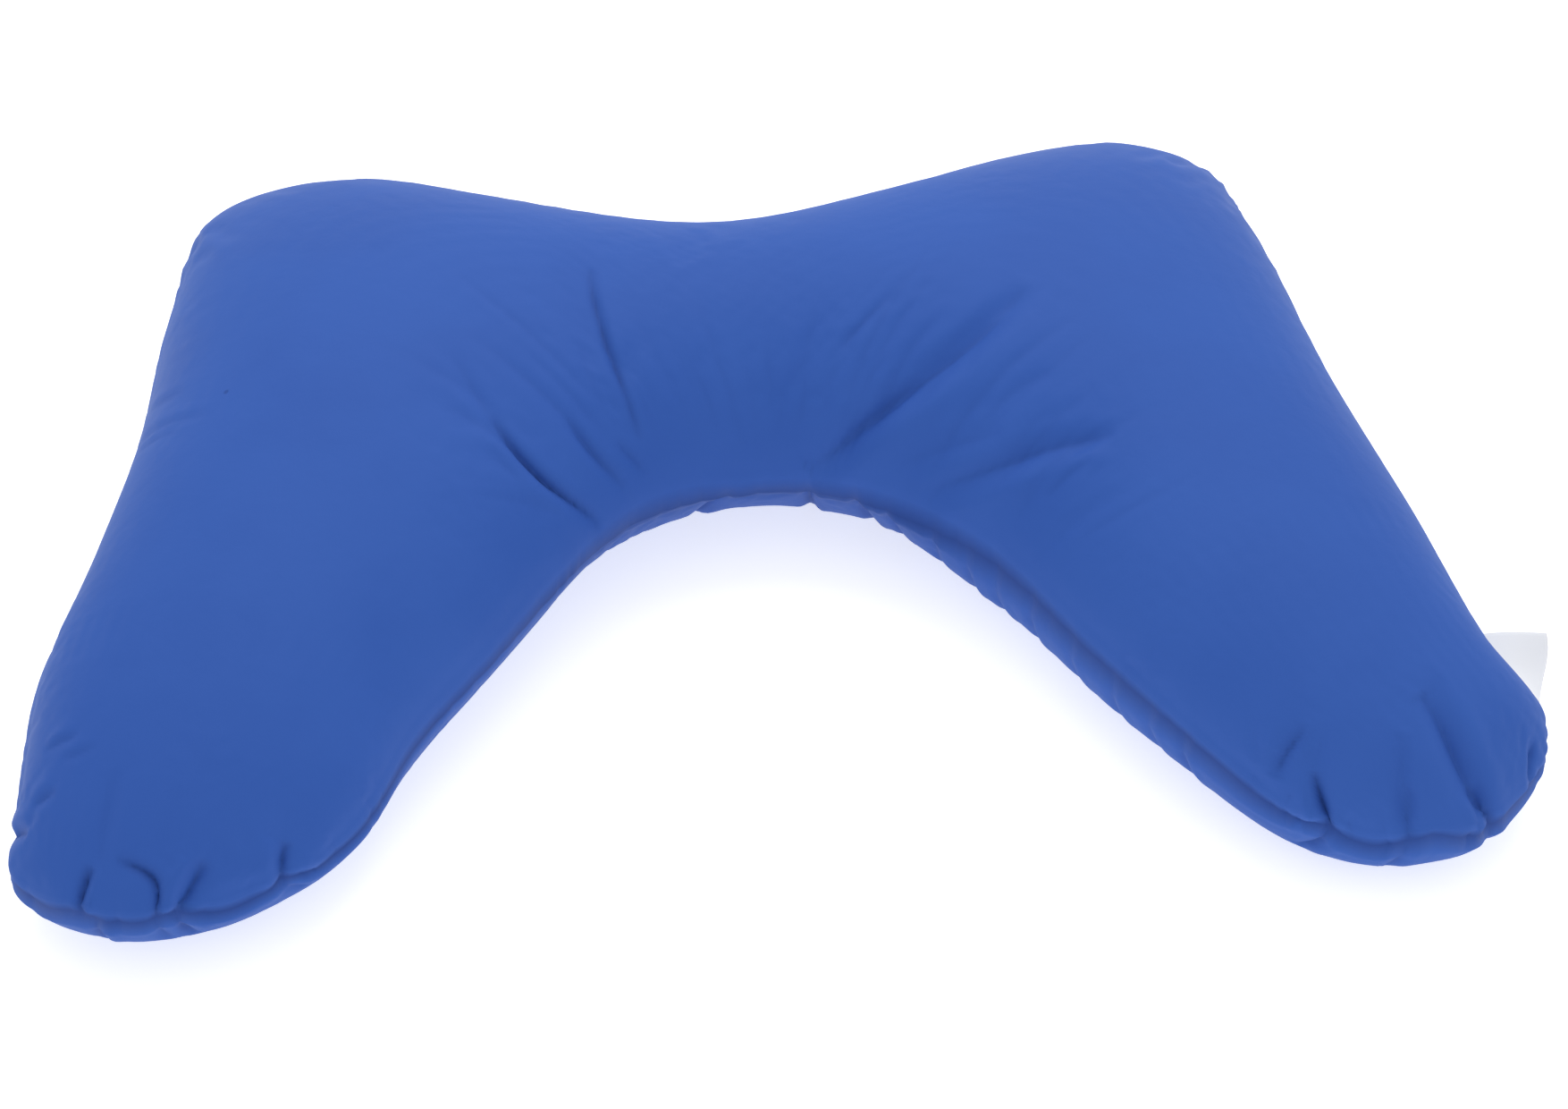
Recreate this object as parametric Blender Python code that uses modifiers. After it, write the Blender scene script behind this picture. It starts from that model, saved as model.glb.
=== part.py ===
# Boomerang positioning pillow, lying on its back, with the care label sewn into its seam.
# Metres, +Z up. The arms point along -Y, the back edge along +Y, and the pillow rests on z = 0.
# Two panels of the same outline are sewn together round their rim and filled, so the cushion
# is worked out from the seam's line, the panels' crown and belly, and the creases in them.
import math

import bmesh
import bpy
import numpy as np

MM = 0.001

# Fill of the cushion: rise and depth of the panels for each metre that the cushion spans
CROWN_PER_SPAN = 0.68
BELLY_PER_SPAN = 0.80
TYPICAL_SPAN = 0.125
LANDING = 0.014

# Steps of the mesh along the arms and across each panel, both closer together at their ends.
# The bow of a tip is an arc that turns into a shallow wave over its first steps.
STEPS_ALONG = 116
STEPS_ACROSS = 24
EVENLY_ALONG = 0.45
EVENLY_ACROSS = 0.45
BOW_STEPS = 10

# Sections from the left tip to the right tip, in millimetres: the seam's inner and outer point,
# and how far the middle of the section bows towards its tip. A belly of 1 is round at the seam,
# and a higher one is flatter there, like a lens.
SECTION_COLUMNS = (
    "inner_x", "inner_y", "inner_z", "outer_x", "outer_y", "outer_z", "bow", "inner_belly", "outer_belly",
)
SECTIONS = {
    "left_tip": (-263, -243, 44, -426, -238, 44, 42, 1.3, 1.0),
    "left_toe": (-238, -219, 47, -431, -191, 49, 26, 1.4, 1.0),
    "left_low": (-206, -172, 51, -418, -120, 55, 8, 1.6, 1.0),
    "left_mid": (-166, -112, 56, -395, -29, 58, 0, 1.7, 1.0),
    "left_high": (-128, -62, 60, -373, 62, 60, 0, 1.9, 1.0),
    "left_neck": (-100, -29, 60, -360, 163, 60, 0, 2.5, 1.0),
    "left_ear": (-73, -10, 60, -337, 254, 60, 0, 2.8, 1.0),
    "left_crest": (-45, 1, 60, -240, 272, 60, 0, 3.0, 1.0),
    "left_back": (-22, 6, 60, -129, 234, 60, 0, 3.2, 1.0),
    "dip": (-1, 8, 60, -34, 209, 60, 0, 3.2, 1.0),
    "right_back": (24, 4, 60, 83, 232, 60, 0, 3.0, 1.0),
    "right_crest": (50, -7, 60, 216, 278, 60, 0, 2.3, 1.0),
    "right_ear": (75, -23, 60, 287, 263, 60, 0, 1.6, 1.0),
    "right_neck": (101, -45, 60, 309, 195, 60, 0, 1.2, 1.0),
    "right_high": (129, -77, 60, 336, 60, 60, 0, 1.0, 1.0),
    "right_mid": (164, -133, 60, 364, -62, 60, 0, 0.9, 1.0),
    "right_low": (204, -187, 58, 391, -150, 56, 8, 0.9, 1.0),
    "right_toe": (238, -226, 52, 409, -178, 50, 28, 0.9, 1.0),
    "right_tip": (263, -247, 46, 408, -216, 46, 38, 1.0, 1.0),
}

# Creases in the upper panel, in millimetres: seen from above, a line through three points,
# how deep the cloth sinks there and how far from the line it is back at its own height.
CREASE_COLUMNS = ("from_x", "from_y", "over_x", "over_y", "to_x", "to_y", "depth", "reach")
CREASES = {
    "arch_left": (-181, 3, -143, -28, -101, -34, 7, 17),
    "arch_left_tall": (-100, 102, -91, 38, -75, 0, 5, 14),
    "arch_left_short": (-129, 14, -105, -8, -87, -16, 3, 14),
    "arch_right": (135, 74, 65, 14, 17, 4, 8, 22),
    "arch_right_low": (193, -38, 123, -34, 73, -18, 6, 20),
    "arch_right_back": (39, 82, 17, 48, 7, 26, 3, 16),
    "right_toe_long": (333, -194, 345, -218, 359, -242, 7, 17),
}

# Tucks where the full cloth is gathered into the seam round the tips: the end, the place on its
# seam from the inner to the outer side, and in millimetres the tuck's run over the upper panel,
# its depth, and how far from its line the cloth is back at its own height.
TUCK_COLUMNS = ("end", "share", "run", "depth", "reach")
TUCKS = {
    "left_outer": (0, 0.80, 42, 7, 16),
    "left_middle": (0, 0.52, 60, 8, 18),
    "left_inner": (0, 0.22, 48, 7, 16),
    "right_inner": (-1, 0.16, 46, 7, 15),
    "right_middle": (-1, 0.46, 40, 6, 16),
    "right_outer": (-1, 0.80, 58, 7, 17),
}
TUCK_RUN_UNDERNEATH = 0.4
FOLD_STEPS = 24

# Care label: sewn in along the seam of the right arm. Its far end stands out and its near end,
# towards the arm's tip, hangs down. At the seam it has turned down by a part of its droop.
LABEL_START = -129 * MM
LABEL_LENGTH = 56 * MM
LABEL_WIDTH = 52 * MM
LABEL_THICKNESS = 1.0 * MM
LABEL_OFF_SEAM = 1.2 * MM
LABEL_DROOP_FAR = math.radians(28.0)
LABEL_DROOP_NEAR = math.radians(97.0)
LABEL_DROOP_AT_SEAM = 0.4
LABEL_STEPS_ALONG = 8
LABEL_STEPS_OUT = 6

# Colours from the photo, in linear light
CLOTH_BLUE = (0.045, 0.115, 0.45)
LABEL_WHITE = (0.78, 0.80, 0.86)

# Points closer than this are one point
SAME_PLACE = 1e-6


def clear_scene():
    for old in list(bpy.data.objects):
        bpy.data.objects.remove(old)


def collection(name):
    made = bpy.data.collections.new(name)
    bpy.context.scene.collection.children.link(made)
    return made


def material(name, colour, roughness):
    made = bpy.data.materials.new(name)
    made.use_nodes = True
    shader = made.node_tree.nodes["Principled BSDF"]
    shader.inputs["Base Color"].default_value = (*colour, 1.0)
    shader.inputs["Roughness"].default_value = roughness
    shader.inputs["Metallic"].default_value = 0.0
    return made


def sections_between():
    """The section table on a smooth curve through its rows, as one array for each column."""
    rows = np.array(list(SECTIONS.values()), float)
    middle = rows[:, [0, 1]] + rows[:, [3, 4]]
    knots = lengths_along(middle)
    slopes = np.gradient(rows, knots, axis=0)
    even = np.linspace(0.0, 1.0, STEPS_ALONG + 1)
    at = knots[-1] * (EVENLY_ALONG * even + (1.0 - EVENLY_ALONG) * (1.0 - np.cos(math.pi * even)) / 2.0)
    left = np.clip(np.searchsorted(knots, at, side="right") - 1, 0, len(rows) - 2)
    width = (knots[left + 1] - knots[left])[:, None]
    t = (at[:, None] - knots[left][:, None]) / width
    smooth = (
        (2 * t**3 - 3 * t**2 + 1) * rows[left]
        + (t**3 - 2 * t**2 + t) * width * slopes[left]
        + (3 * t**2 - 2 * t**3) * rows[left + 1]
        + (t**3 - t**2) * width * slopes[left + 1]
    )
    return dict(zip(SECTION_COLUMNS, smooth.T))


def seam_side(sections, side):
    """The seam's inner or outer line, from the left tip to the right tip."""
    return np.stack([sections[side + "_x"], sections[side + "_y"], sections[side + "_z"]], 1) * MM


def lengths_along(line):
    """How far along the line each of its points is."""
    return np.concatenate([[0.0], np.cumsum(np.linalg.norm(np.diff(line, axis=0), axis=1))])


def point_at(line, distance):
    """Points on the line at the distances along it."""
    travelled = lengths_along(line)
    return np.stack([np.interp(distance, travelled, line[:, k]) for k in range(3)], -1)


def towards_tips(steps):
    """Unit steps out of steps from left to right, each turned towards its own tip."""
    turned = steps.copy()
    turned[: len(steps) // 2] *= -1.0
    return turned / np.linalg.norm(steps, axis=1)[:, None]


def seam_sheet(sections):
    """Points on a sheet stretched over the seam, as (along, across, xyz), with the seam round its rim."""
    inner = seam_side(sections, "inner")
    outer = seam_side(sections, "outer")
    chord = outer - inner
    turn = np.linspace(0.0, math.pi, STEPS_ACROSS + 1)
    share = EVENLY_ACROSS * turn / math.pi + (1.0 - EVENLY_ACROSS) * (1.0 - np.cos(turn)) / 2.0

    steps_in = np.minimum(np.arange(len(chord)), np.arange(len(chord))[::-1])
    wave = np.sin(turn) ** (1.0 + np.minimum(steps_in, BOW_STEPS) / BOW_STEPS)[:, None]
    square_to_chord = np.stack([chord[:, 1], -chord[:, 0], np.zeros(len(chord))], 1)
    lean = (
        towards_tips(np.gradient(inner, axis=0))[:, None] * ((1.0 - share) ** 2)[:, None]
        + towards_tips(square_to_chord)[:, None] * (2.0 * share * (1.0 - share))[:, None]
        + towards_tips(np.gradient(outer, axis=0))[:, None] * (share**2)[:, None]
    )
    bow = lean * (sections["bow"][:, None] * MM * wave)[..., None]
    return inner[:, None] + chord[:, None] * share[:, None] + bow


def span_over(sheet):
    """How far the cushion spans at each point: the root of twice a membrane's lift over the outline.
    Over a long straight arm it is the half circle on the arm's width."""
    rows, columns = sheet.shape[:2]
    index = np.arange(rows * columns).reshape(rows, columns)
    a, b, c, d = index[:-1, :-1], index[1:, :-1], index[1:, 1:], index[:-1, 1:]
    triangles = np.concatenate([np.stack(corners, -1).reshape(-1, 3) for corners in ((a, b, c), (a, c, d))])
    corner = sheet.reshape(-1, 3)[:, :2][triangles]
    edge = corner[:, [2, 0, 1]] - corner[:, [1, 2, 0]]
    area = np.abs(edge[:, 0, 0] * edge[:, 1, 1] - edge[:, 0, 1] * edge[:, 1, 0]) / 2.0
    stiffness = np.zeros((rows * columns, rows * columns))
    load = np.zeros(rows * columns)
    for i in range(3):
        np.add.at(load, triangles[:, i], area / 3.0)
        for j in range(3):
            pull = (edge[:, i] * edge[:, j]).sum(1) / (4.0 * area)
            np.add.at(stiffness, (triangles[:, i], triangles[:, j]), pull)
    inside = index[1:-1, 1:-1].ravel()
    lift = np.zeros(rows * columns)
    lift[inside] = np.linalg.solve(stiffness[np.ix_(inside, inside)], load[inside])
    return np.sqrt(2.0 * lift).reshape(rows, columns)


def landed(height):
    """Heights that meet the floor softly and lie flat on it."""
    soft = (height + LANDING) ** 2 / (4.0 * LANDING)
    return np.where(height > LANDING, height, np.where(height < -LANDING, 0.0, soft))


def outward(panel, up):
    """Normals of a panel's grid, on its upper side or, with up at -1, on its lower side."""
    normal = np.cross(np.gradient(panel, axis=0), np.gradient(panel, axis=1))
    normal /= np.linalg.norm(normal, axis=2, keepdims=True)
    return normal * up * np.sign(normal[STEPS_ALONG // 2, STEPS_ACROSS // 2, 2])


def sink(panel, path, depth, reach, strength, up):
    """Presses a crease into the panel along a path of points, by strength at each of them."""
    gap = np.linalg.norm(panel[:, :, None] - path, axis=3)
    nearest = gap.argmin(2)
    gap = np.take_along_axis(gap, nearest[..., None], 2)[..., 0] / reach
    fall = np.where(gap < 1.0, (1.0 + np.cos(math.pi * np.minimum(gap, 1.0))) / 2.0, 0.0)
    return panel - outward(panel, up) * (depth * strength[nearest] * fall)[..., None]


def creased(top):
    """The upper panel with the creases of the table, each fading at both ends."""
    t = np.linspace(0.0, 1.0, FOLD_STEPS + 1)
    strength = np.sin(math.pi * t**1.2)
    for values in CREASES.values():
        crease = dict(zip(CREASE_COLUMNS, values))
        start, over, end = (
            np.array([crease[point + "_x"], crease[point + "_y"]]) * MM for point in ("from", "over", "to")
        )
        line = np.outer((1 - t) * (1 - 2 * t), start)
        line += np.outer(4 * t * (1 - t), over) + np.outer(t * (2 * t - 1), end)
        below = np.linalg.norm(top[:, :, None, :2] - line, axis=3).reshape(-1, len(line)).argmin(0)
        path = np.column_stack([line, top.reshape(-1, 3)[below, 2]])
        top = sink(top, path, crease["depth"] * MM, crease["reach"] * MM, strength, 1.0)
    return top


def tucked(panel, run_share, up):
    """A panel with the tucks of the table, which fade as they leave the seam, run_share of their run long."""
    t = np.linspace(0.0, 1.0, FOLD_STEPS + 1)
    strength = np.cos(math.pi * t / 2.0)
    for values in TUCKS.values():
        tuck = dict(zip(TUCK_COLUMNS, values))
        lane = round(math.acos(1.0 - 2.0 * tuck["share"]) / math.pi * STEPS_ACROSS)
        line = panel[:, lane] if tuck["end"] == 0 else panel[::-1, lane]
        path = point_at(line, t * tuck["run"] * MM * run_share)
        panel = sink(panel, path, tuck["depth"] * MM, tuck["reach"] * MM, strength, up)
    return panel


def panels():
    """Grids of the upper and the lower panel, which share the seam round their rim. A grid's corner
    is laid on its neighbour, so that the seam runs on smoothly and no sliver is left there."""
    sections = sections_between()
    sheet = seam_sheet(sections)
    span = span_over(sheet)
    across = np.linspace(0.0, 1.0, STEPS_ACROSS + 1)
    belly = np.outer(sections["inner_belly"], 1.0 - across) + np.outer(sections["outer_belly"], across)
    seam = np.ones(span.shape, bool)
    seam[1:-1, 1:-1] = False

    top = sheet.copy()
    top[..., 2] += CROWN_PER_SPAN * span
    under = sheet.copy()
    under[..., 2] -= BELLY_PER_SPAN * TYPICAL_SPAN * (span / TYPICAL_SPAN) ** belly
    under[..., 2] = np.where(seam, sheet[..., 2], landed(under[..., 2]))

    top = tucked(creased(top), 1.0, 1.0)
    under = tucked(under, TUCK_RUN_UNDERNEATH, -1.0)
    under[..., 2] = np.maximum(under[..., 2], 0.0)
    top[seam] = under[seam] = (top[seam] + under[seam]) / 2.0
    for panel in (top, under):
        panel[[0, -1], 0] = panel[[0, -1], 1]
        panel[[0, -1], -1] = panel[[0, -1], -2]
    return top, under


def add_grid(mesh, points):
    """Lays a flat grid of the points' size in the mesh and moves each of its vertices to its point."""
    rows, columns = points.shape[:2]
    made = bmesh.ops.create_grid(mesh, x_segments=rows - 1, y_segments=columns - 1, size=1.0)
    in_order = sorted(made["verts"], key=lambda vert: (round(vert.co.x, 5), round(vert.co.y, 5)))
    for vert, place in zip(in_order, points.reshape(-1, 3)):
        vert.co = place


def soft_object(name, grids, finish):
    """An object of the grids, joined where they meet and shaded smooth."""
    mesh = bmesh.new()
    for points in grids:
        add_grid(mesh, points)
    bmesh.ops.remove_doubles(mesh, verts=mesh.verts, dist=SAME_PLACE)
    bmesh.ops.recalc_face_normals(mesh, faces=mesh.faces)
    data = bpy.data.meshes.new(name)
    mesh.to_mesh(data)
    mesh.free()
    data.shade_smooth()
    data.materials.append(finish)
    return bpy.data.objects.new(name, data)


def label_row(root, away, droop):
    """Points out from the label's root, bending down until the label has turned by its droop."""
    row = [root + away * LABEL_OFF_SEAM]
    stride = LABEL_WIDTH / LABEL_STEPS_OUT
    for step in range(1, LABEL_STEPS_OUT + 1):
        turned = math.sin(step / LABEL_STEPS_OUT * math.pi / 2.0)
        tilt = droop * (LABEL_DROOP_AT_SEAM + (1.0 - LABEL_DROOP_AT_SEAM) * turned)
        row.append(row[-1] + (away * math.cos(tilt) - np.array([0.0, 0.0, math.sin(tilt)])) * stride)
    return row


def label_sheet():
    """Points of the label's middle surface, row by row along the seam from its far end."""
    seam = seam_side(sections_between(), "outer")
    seam = seam[seam[:, 0] > 0.0]
    start = np.interp(-LABEL_START, -seam[:, 1], lengths_along(seam))
    rows = []
    for step in range(LABEL_STEPS_ALONG + 1):
        share = step / LABEL_STEPS_ALONG
        root, beyond = point_at(seam, start + share * LABEL_LENGTH + np.array([0.0, MM]))
        away = np.array([root[1] - beyond[1], beyond[0] - root[0], 0.0])
        droop = LABEL_DROOP_FAR + (LABEL_DROOP_NEAR - LABEL_DROOP_FAR) * share**2
        rows.append(label_row(root, away / np.linalg.norm(away), droop))
    return np.array(rows)


def cushion():
    return soft_object("cushion", panels(), material("blue_coated_cloth", CLOTH_BLUE, 0.5))


def care_label():
    label = soft_object("care_label", [label_sheet()], material("white_label_cloth", LABEL_WHITE, 0.7))
    cloth = label.modifiers.new("cloth", "SOLIDIFY")
    cloth.thickness = LABEL_THICKNESS
    cloth.offset = 0.0
    return label


clear_scene()
pillow = collection("positioning_pillow")
pillow.objects.link(cushion())
pillow.objects.link(care_label())
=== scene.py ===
import math

import bmesh
import bpy
import numpy as np
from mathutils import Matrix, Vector, kdtree


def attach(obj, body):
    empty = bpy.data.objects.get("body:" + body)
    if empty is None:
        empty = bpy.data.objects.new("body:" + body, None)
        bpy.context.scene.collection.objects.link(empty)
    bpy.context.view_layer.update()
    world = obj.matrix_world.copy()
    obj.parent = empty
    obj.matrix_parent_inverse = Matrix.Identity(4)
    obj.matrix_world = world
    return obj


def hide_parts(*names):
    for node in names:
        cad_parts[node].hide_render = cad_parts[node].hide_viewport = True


MM = 0.001

# Fill of the cushion: how high its crown and how deep its belly are for each metre of its span, the
# span at which all bellies are equally deep, how softly the belly comes down on the floor, and how
# high above the floor the lower panel takes its seam and folds in full
CROWN_PER_SPAN = 0.68
BELLY_PER_SPAN = 0.80
TYPICAL_SPAN = 0.125
LANDING = 0.014
FREE_ABOVE = 5 * MM

# Steps of the first mesh along the arms and across each panel, both closer together at their ends.
# The bow of a tip is an arc that turns into a shallow wave over its first steps. Each refining
# doubles the steps, and the cloth is simulated on every second point of the finished mesh.
STEPS_ALONG = 116
STEPS_ACROSS = 24
REFININGS = 2
EVENLY_ALONG = 0.45
EVENLY_ACROSS = 0.45
BOW_STEPS = 10

# Sections from the left tip to the right tip, in millimetres: the seam's inner and outer point,
# and how far the middle of the section bows towards its tip. A belly of 1 is round at the seam,
# and a higher one is flatter there, like a lens.
SECTION_COLUMNS = (
    "inner_x", "inner_y", "inner_z", "outer_x", "outer_y", "outer_z", "bow", "inner_belly", "outer_belly",
)
SECTIONS = {
    "left_tip": (-263, -244, 44, -429, -233, 42, 40, 1.3, 1.0),
    "left_toe": (-239, -218, 46, -426, -188, 48, 25, 1.4, 1.0),
    "left_low": (-210, -166, 50, -420, -119, 54, 8, 1.6, 1.0),
    "left_mid": (-165, -111, 56, -394, -30, 58, 0, 1.9, 1.0),
    "left_high": (-128, -62, 59, -372, 62, 60, 0, 2.1, 1.0),
    "left_neck": (-100, -28, 58, -360, 163, 60, 0, 2.8, 1.0),
    "left_ear": (-74, -8, 57, -337, 254, 60, 0, 3.0, 1.0),
    "left_crest": (-46, 3, 56, -240, 272, 60, 0, 3.2, 1.0),
    "left_back": (-22, 6, 56, -129, 234, 60, 0, 3.2, 1.0),
    "dip": (-1, 8, 56, -34, 209, 60, 0, 3.2, 1.0),
    "right_back": (24, 4, 56, 80, 235, 60, 0, 3.0, 1.0),
    "right_crest": (50, -7, 57, 216, 276, 60, 0, 2.6, 1.0),
    "right_ear": (75, -23, 58, 286, 261, 60, 0, 1.8, 1.0),
    "right_neck": (101, -45, 60, 309, 196, 60, 0, 1.2, 1.0),
    "right_high": (129, -77, 60, 335, 59, 60, 0, 1.0, 1.0),
    "right_mid": (164, -133, 60, 366, -62, 60, 0, 0.9, 1.0),
    "right_low": (204, -187, 57, 389, -150, 56, 8, 0.9, 1.0),
    "right_toe": (238, -226, 50, 410, -187, 49, 29, 0.9, 1.0),
    "right_tip": (263, -249, 42, 408, -210, 44, 40, 1.0, 1.0),
}

# Cloth simulation: the fill presses from inside, and the seam, the cores of the folds and the resting
# face stay where they are. Spare cloth gathered into the seam is a share of its length that fades
# away from the seam. The even swelling is found by so many rounds of evening, and is taken out.
FILL_PRESSURE = 8.0
SIMULATED_FRAMES = 20
CLOTH_QUALITY = 5
CLOTH_MASS = 0.05
CLOTH_STRETCH = 6.0
CLOTH_SHEAR = 2.0
CLOTH_BEND = 0.1
MOST_MOVE = 6 * MM
SWELL_EVENING = 120
SPARE_CLOTH = 0.18
SPARE_REACH = 60 * MM

# A point below this height rests on the floor, and one with more shade than this is held in a fold
RESTING = 0.5 * MM
HELD_SHADE = 0.5

# The seam, turned inside: how deep it pulls the cloth in, how far from it the cloth is back, how high
# and how wide the cloth rolls there, and the rounds that even the seam's direction
SEAM_DEPTH = 2.6 * MM
SEAM_REACH = 7.0 * MM
SEAM_ROLL = 1.0 * MM
SEAM_ROLL_WIDTH = 4.2 * MM
RIM_EVENING = 12

# Where the full cloth pushes the seam up at the tips: the end, the place across it from the inner
# seam, and in millimetres the rise and how far from the place it fades
SEAM_LIFT_COLUMNS = ("end", "across", "rise", "reach")
SEAM_LIFTS = {
    "left_outer": (0, 0.70, 10, 20),
    "left_middle": (0, 0.52, 6, 22),
    "left_inner": (0, 0.40, 8, 18),
    "left_side": (0, 0.08, 6, 20),
    "right_inner": (-1, 0.05, 8, 20),
    "right_middle": (-1, 0.42, 12, 20),
}

# Gathers along the seam: narrow valleys between rounded cloth, deepest at the tips and in the arch
GATHER_SPACING = 21 * MM
GATHER_DEPTH = 0.8 * MM
TIP_GATHER_DEPTH = 2.4 * MM
ARCH_GATHER_DEPTH = 0.5 * MM
TIP_REACH = 90 * MM
ARCH_REACH = 130 * MM
GATHER_RUN_UPPER = 15 * MM
GATHER_RUN_LOWER = 11 * MM
GATHER_SHARPNESS = 0.8
GATHER_EVEN_DEPTH = 0.6

# How irregular the places, the depths and the runs of the gathers are: by how much, over how many
# gathers, and the seed
PLACE_SWING = (0.9, 5.0, 3)
DEPTH_SWING = (0.4, 2.3, 8)
UPPER_RUN_SWING = (0.5, 1.7, 12)
LOWER_RUN_SWING = (0.5, 1.7, 13)
SWING_STRETCHES = (0.6, 0.83, 1.0, 1.37, 1.9)

# Folds of the panels. Each runs through three places, given as shares of the panel's length from the
# left tip and of its breadth from the inner seam. Millimetres: depth, reach to each side, and the
# height of the roll of cloth beside it, on the left of the way it runs, or on its right when below 0.
# A fold with a sharpness of 1 is a crisp line, and one of 0 a soft trough. A fold that starts on the
# seam has part of its depth there, and the others fade at both ends.
FOLD_COLUMNS = (
    "from_along", "from_across", "over_along", "over_across", "to_along", "to_across",
    "depth", "reach", "roll", "sharpness",
)
UPPER_FOLDS = {
    "bend_left_deep": (0.316, 0.268, 0.306, 0.140, 0.326, 0.010, 6.5, 10, -1.0, 1.0),
    "bend_left_start": (0.334, 0.370, 0.321, 0.305, 0.307, 0.240, 1.6, 10, -0.4, 0.4),
    "bend_left_tall": (0.435, 0.447, 0.405, 0.262, 0.381, 0.080, 3.6, 7, 0.9, 1.0),
    "bend_left_tall_end": (0.364, 0.098, 0.369, 0.066, 0.375, 0.036, 2.0, 7, 0.4, 0.6),
    "bend_left_short": (0.348, 0.172, 0.346, 0.105, 0.355, 0.030, 3.2, 8, 0.5, 0.7),
    "bend_left_faint": (0.394, 0.280, 0.379, 0.202, 0.371, 0.138, 1.1, 9, 0.3, 0.3),
    "bend_middle_left": (0.512, 0.196, 0.507, 0.141, 0.501, 0.086, 1.3, 11, 0.3, 0.2),
    "bend_middle": (0.530, 0.392, 0.527, 0.280, 0.517, 0.176, 1.8, 12, 0.4, 0.2),
    "bend_middle_right": (0.574, 0.355, 0.559, 0.310, 0.549, 0.258, 2.4, 10, 0.6, 0.4),
    "bend_right_deep": (0.633, 0.390, 0.608, 0.170, 0.530, 0.020, 9.0, 17, 2.6, 0.35),
    "bend_right_core": (0.612, 0.186, 0.585, 0.098, 0.538, 0.030, 2.5, 8, 0.5, 0.6),
    "bend_right_upper": (0.671, 0.300, 0.660, 0.230, 0.655, 0.170, 1.6, 12, 0.5, 0.3),
    "bend_right_between": (0.668, 0.175, 0.643, 0.105, 0.615, 0.042, 3.0, 14, 0.8, 0.2),
    "bend_right_low": (0.731, 0.330, 0.690, 0.165, 0.638, 0.020, 6.5, 16, 2.0, 0.35),
    "left_edge_fan_far": (0.282, 0.965, 0.279, 0.885, 0.279, 0.810, 1.0, 6, 0.5, 0.5),
    "left_edge_fan_middle": (0.266, 0.950, 0.264, 0.840, 0.265, 0.715, 1.1, 7, 0.5, 0.5),
    "left_edge_fan_near": (0.259, 0.950, 0.258, 0.860, 0.259, 0.780, 0.9, 6, 0.4, 0.5),
    "left_toe_edge_far": (0.078, 0.860, 0.083, 0.800, 0.088, 0.745, 1.4, 6, 0.8, 0.6),
    "left_toe_edge_middle": (0.072, 0.790, 0.077, 0.740, 0.083, 0.690, 1.2, 6, 0.6, 0.5),
    "left_toe_edge_near": (0.044, 0.880, 0.050, 0.832, 0.056, 0.785, 2.4, 8, 0.6, 0.5),
    "left_toe_long": (0.072, 0.640, 0.046, 0.640, 0.023, 0.628, 2.4, 13, 0.5, 0.2),
    "left_toe_faint": (0.097, 0.495, 0.084, 0.457, 0.072, 0.415, 1.1, 13, 0.3, 0.1),
    "left_tuck_outer": (0.000, 0.682, 0.011, 0.672, 0.023, 0.655, 5.5, 7, -1.8, 0.9),
    "left_tuck_middle": (0.000, 0.462, 0.019, 0.480, 0.028, 0.590, 5.0, 7, -1.0, 0.9),
    "left_tuck_inner": (0.000, 0.402, 0.012, 0.372, 0.026, 0.360, 6.0, 11, 2.2, 0.6),
    "left_tuck_ridge": (0.018, 0.440, 0.027, 0.405, 0.037, 0.370, -1.6, 7, 0.0, 0.4),
    "left_tuck_side": (0.000, 0.105, 0.013, 0.130, 0.028, 0.155, 5.0, 10, 1.8, 0.7),
    "left_tuck_far": (0.031, 1.000, 0.029, 0.950, 0.028, 0.890, 4.5, 9, 1.0, 0.5),
    "right_side_crease": (0.964, 0.070, 0.950, 0.160, 0.936, 0.255, 5.0, 11, 0.8, 0.4),
    "right_tuck_inner": (1.000, 0.092, 0.986, 0.122, 0.964, 0.182, 7.5, 9, 1.5, 0.9),
    "right_tuck_middle": (1.000, 0.326, 0.990, 0.352, 0.974, 0.402, 3.5, 11, 0.8, 0.4),
    "right_toe_soft": (0.946, 0.455, 0.968, 0.400, 0.992, 0.342, 4.0, 13, 0.4, 0.1),
    "right_toe_long": (0.928, 0.553, 0.962, 0.575, 0.994, 0.620, 8.5, 15, 1.5, 0.45),
    "right_tuck_outer": (1.000, 0.672, 0.993, 0.632, 0.981, 0.598, 5.5, 10, 1.8, 0.6),
    "right_edge_crease": (0.980, 0.885, 0.990, 0.868, 1.000, 0.850, 3.0, 6, -0.8, 0.7),
}
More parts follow.
